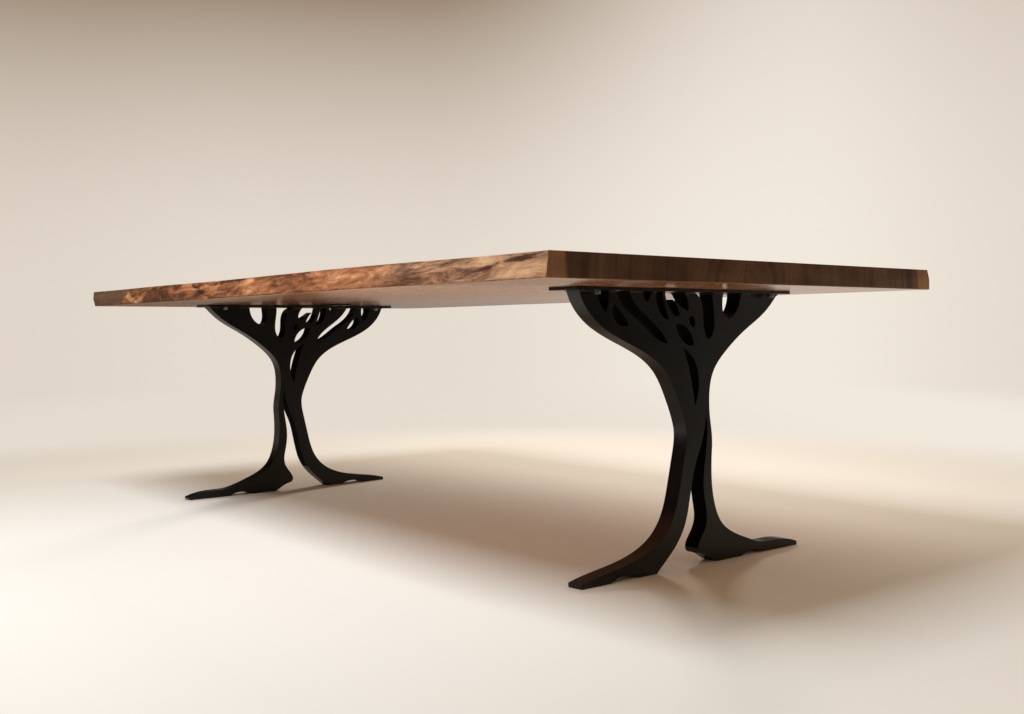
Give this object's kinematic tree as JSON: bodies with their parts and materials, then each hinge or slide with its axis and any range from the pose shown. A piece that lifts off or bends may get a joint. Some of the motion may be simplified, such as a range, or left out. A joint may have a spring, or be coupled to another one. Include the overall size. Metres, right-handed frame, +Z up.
{
  "type": "walnut slab table",
  "caption": "Live-edge walnut slab table on flat-cut steel tree legs, each welded to a mounting plate that is bolted into threaded inserts under the slab.",
  "frame": {"origin": "on the floor under the middle of the slab's bounding box", "axes": "+X along the slab, towards the end nearer the camera in the picture; +Y across the slab, away from the live edge that faces the camera; +Z up"},
  "size_m": [2.59, 1.4796, 0.762],
  "materials": {
    "walnut": "satin oiled",
    "black_steel": "satin black",
    "weld_steel": "bare weld",
    "zinc_steel": "zinc plated",
    "insert_brass": "plain brass"
  },
  "bodies": {
    "root": {"walnut_slab": "walnut", "tree_leg_right": "black_steel", "tree_leg_left": "black_steel", "mounting_plate_right": "black_steel", "mounting_plate_left": "black_steel", "brace_strap_right": "black_steel", "brace_strap_left": "black_steel", "weld_beads_right": "weld_steel", "weld_beads_left": "weld_steel", "plate_bolts_right": "zinc_steel", "plate_bolts_left": "zinc_steel", "threaded_inserts_right": "insert_brass", "threaded_inserts_left": "insert_brass", "strap_screws_right": "zinc_steel", "strap_screws_left": "zinc_steel"}
  },
  "joints": []
}
